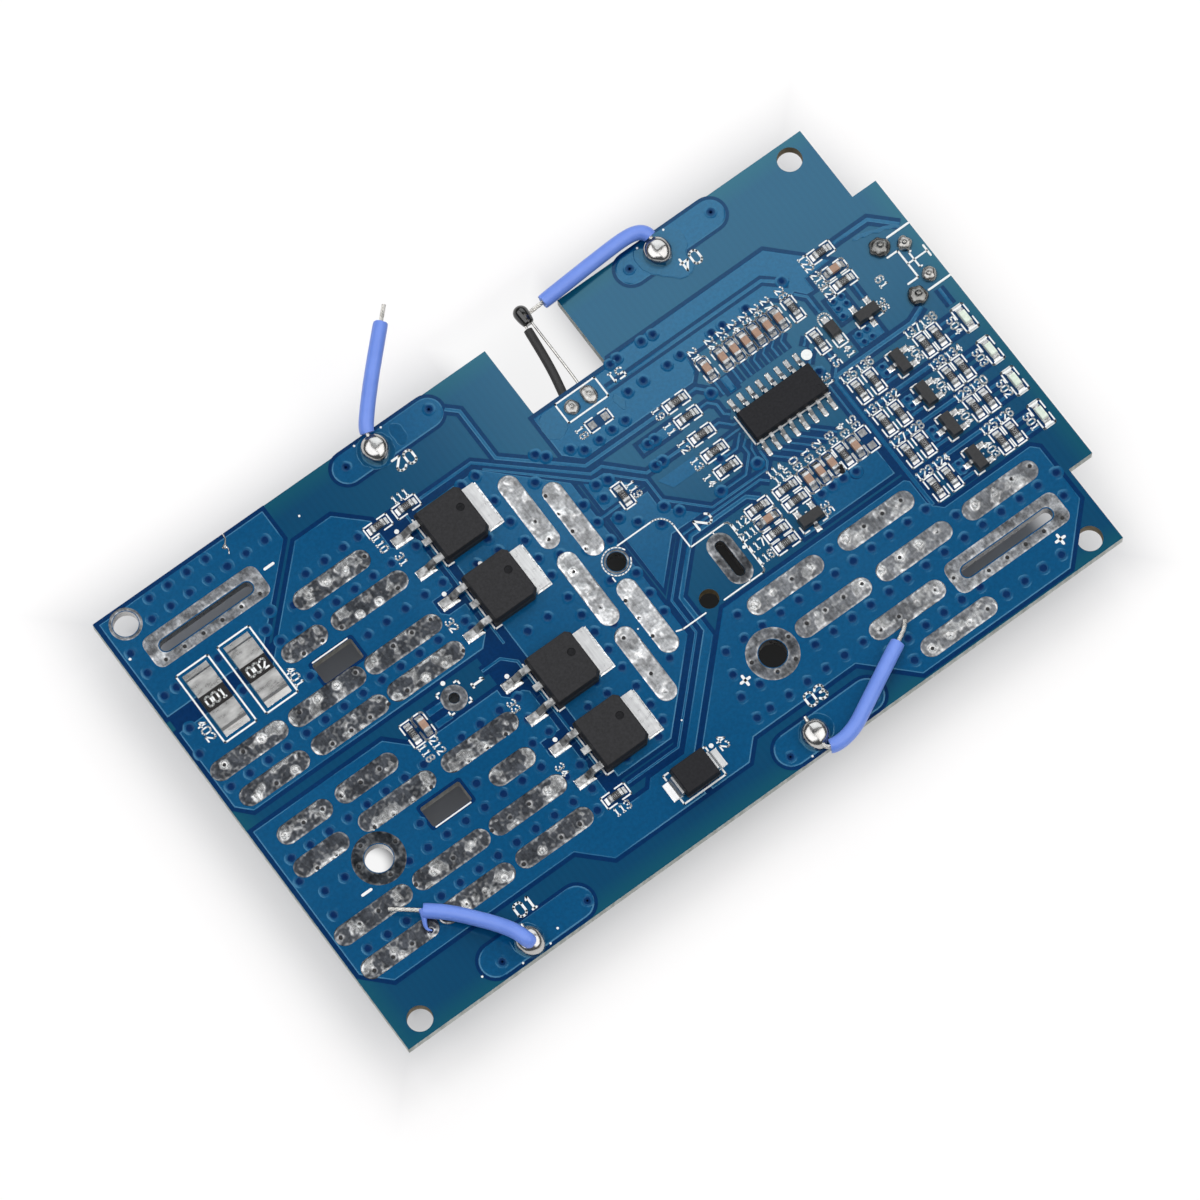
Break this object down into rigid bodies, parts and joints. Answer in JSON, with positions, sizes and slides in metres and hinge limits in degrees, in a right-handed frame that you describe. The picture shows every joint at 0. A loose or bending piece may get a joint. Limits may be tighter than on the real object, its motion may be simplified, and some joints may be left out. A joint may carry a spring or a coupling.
{
  "type": "battery management board",
  "caption": "Blue circuit board with power transistors, a controller chip, tinned copper strips, current shunts, indicators, a side button, a thermistor and blue wire stubs.",
  "frame": {"origin": "centre of the four corner holes, on the underside of the board", "axes": "+X along the long edge towards the tab with the button, +Y across the board towards the notch, +Z out of the fitted side"},
  "size_m": [0.0999, 0.0708, 0.0118],
  "materials": {
    "solder_mask": "glossy blue solder mask over glass epoxy laminate",
    "tinned_copper": "dull mottled tin over copper",
    "mould_black": "matte black moulding compound",
    "leg_metal": "matte tin plating",
    "shunt_metal": "bright tinned resistance alloy",
    "shunt_coat": "black coating",
    "resistor_glaze": "black glaze on white ceramic",
    "capacitor_ceramic": "tan ceramic",
    "cap_solder": "bright solder over the end caps",
    "indicator_lens": "clear resin with a pale green cast",
    "indicator_base": "white laminate",
    "button_plastic": "black nylon",
    "plunger_plastic": "black nylon",
    "spring_steel": "bright spring steel",
    "bracket_steel": "tinned sheet steel",
    "flux_solder": "solder darkened by flux",
    "thermistor_resin": "glossy black resin",
    "sleeve_black": "black sleeving",
    "bare_wire": "tinned copper strands",
    "wire_blue": "cornflower blue insulation",
    "bright_solder": "bright solder",
    "print_white": "white printed legend"
  },
  "bodies": {
    "board": {"circuit_board": "solder_mask", "battery_side_strips": "tinned_copper", "pack_side_strips": "tinned_copper", "drain_strips": "tinned_copper", "load_side_strips": "tinned_copper", "battery_minus_frame": "tinned_copper", "battery_plus_frame": "tinned_copper", "pack_minus_ring": "tinned_copper", "pack_plus_ring": "tinned_copper", "small_terminal_rings": "tinned_copper", "power_transistor_1_body": "mould_black", "power_transistor_2_body": "mould_black", "power_transistor_3_body": "mould_black", "power_transistor_4_body": "mould_black", "power_transistor_1_metal": "leg_metal", "power_transistor_2_metal": "leg_metal", "power_transistor_3_metal": "leg_metal", "power_transistor_4_metal": "leg_metal", "controller_body": "mould_black", "controller_legs": "leg_metal", "shunt_1_body": "shunt_coat", "shunt_2_body": "shunt_coat", "shunt_1_terminals": "shunt_metal", "shunt_2_terminals": "shunt_metal", "clamp_diode_body": "mould_black", "clamp_diode_terminals": "leg_metal", "small_diode_body": "mould_black", "small_diode_terminals": "leg_metal", "driver_transistor_bodies": "mould_black", "led_transistor_bodies": "mould_black", "small_transistor_legs": "leg_metal", "indicator_lenses": "indicator_lens", "indicator_bases": "indicator_base", "indicator_terminals": "cap_solder", "sense_resistor_bodies": "resistor_glaze", "gate_resistor_bodies": "resistor_glaze", "indicator_resistor_bodies": "resistor_glaze", "resistor_end_caps": "cap_solder", "filter_capacitor_bodies": "capacitor_ceramic", "supply_capacitor_bodies": "capacitor_ceramic", "capacitor_end_caps": "cap_solder", "empty_chip_pads": "tinned_copper", "button_housing": "button_plastic", "button_snap_dome": "spring_steel", "button_bracket": "bracket_steel", "button_contacts": "leg_metal", "button_solder": "flux_solder", "thermistor_bead": "thermistor_resin", "thermistor_leads": "bare_wire", "thermistor_sleeve": "sleeve_black", "thermistor_solder": "flux_solder", "wire_1_insulation": "wire_blue", "wire_2_insulation": "wire_blue", "wire_3_insulation": "wire_blue", "wire_4_insulation": "wire_blue", "wire_conductors": "bare_wire", "wire_solder_joints": "bright_solder", "printed_outlines": "print_white"},
    "plunger": {"button_plunger": "plunger_plastic"}
  },
  "joints": [
    {"name": "button_press", "type": "slide", "parent": "board", "child": "plunger", "axis": [-1, 0, 0], "range_m": [0, 0.00025], "stiffness_N_per_m": 6400, "deforming": ["button_snap_dome"]}
  ]
}
